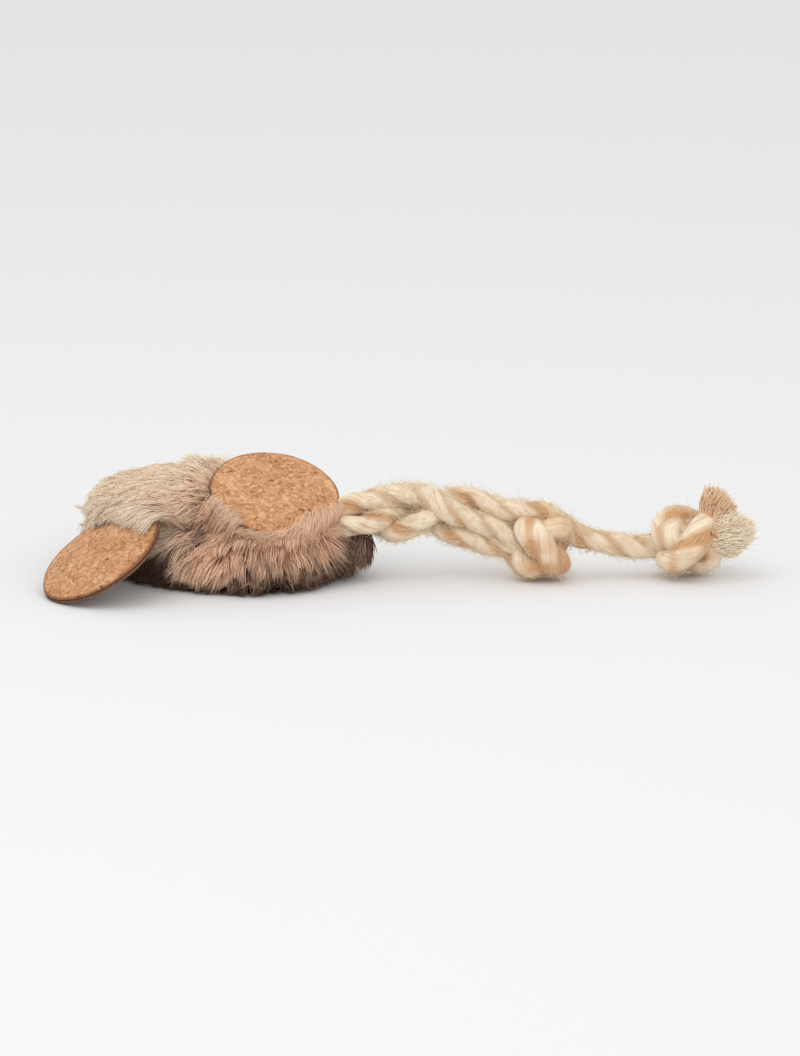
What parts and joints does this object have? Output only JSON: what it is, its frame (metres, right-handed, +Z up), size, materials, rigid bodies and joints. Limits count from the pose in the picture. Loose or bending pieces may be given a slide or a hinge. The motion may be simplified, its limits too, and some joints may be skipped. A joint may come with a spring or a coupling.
{
  "type": "catnip mouse",
  "caption": "Small stuffed plush mouse toy for a pet, lying flat, with round cork ears that flap and a plaited cord tail that ends in a knot and frayed tufts.",
  "frame": {"origin": "on the floor, under the middle of the stuffed body", "axes": "+Z up, +X along the tail as it lies, -Y towards the side that hangs the left ear"},
  "size_m": [0.201, 0.0812, 0.0337],
  "materials": {
    "plush": "long soft pile, mauve-brown roots and beige tips",
    "thread": "matt sewing thread",
    "stuffing": "loose fibre fill",
    "muslin": "open plain weave",
    "leaf": "dry crumbled leaf",
    "cork": "matt pressed cork granules",
    "backing": "plain woven cloth",
    "roving": "soft loosely spun fibre",
    "frayed_tan": "loose frayed fibre",
    "frayed_pale": "loose frayed fibre"
  },
  "bodies": {
    "body": {"plush_upper": "plush", "plush_lower": "plush", "seam_thread": "thread", "closing_thread": "thread", "stuffing_front": "stuffing", "stuffing_rear": "stuffing", "sachet_bag": "muslin", "sachet_tie": "muslin", "catnip_leaf": "leaf", "left_ear_tack": "thread", "right_ear_tack": "thread", "tail_binding": "thread"},
    "left_ear": {"left_ear_cork": "cork", "left_ear_backing": "backing"},
    "right_ear": {"right_ear_cork": "cork", "right_ear_backing": "backing"},
    "tail": {"tail_strand_upper": "roving", "tail_strand_lower": "roving", "tail_strand_back": "roving", "tail_knot_mid": "roving"},
    "tail_tip": {"tail_end_strand": "roving", "tail_knot_end": "roving", "tail_tuft_tan": "frayed_tan", "tail_tuft_pale": "frayed_pale"}
  },
  "joints": [
    {"name": "left_ear_flap", "type": "hinge", "parent": "body", "child": "left_ear", "pos_m": [-0.01998, -0.02172, 0.02145], "axis": [-0.497, 0.8678, 0], "range_deg": [0, 75]},
    {"name": "right_ear_flap", "type": "hinge", "parent": "body", "child": "right_ear", "pos_m": [0.00027, -0.0225, 0.02104], "axis": [0.6371, -0.6474, -0.4182], "range_deg": [0, 90]},
    {"name": "tail_swing", "type": "hinge", "parent": "body", "child": "tail", "pos_m": [0.03691, -0.00946, 0.015], "axis": [0, 0, 1], "range_deg": [-45, 60]},
    {"name": "tail_tip_swing", "type": "hinge", "parent": "tail", "child": "tail_tip", "pos_m": [0.08981, -0.00986, 0.0104], "axis": [0, 0, 1], "range_deg": [-45, 45]}
  ]
}
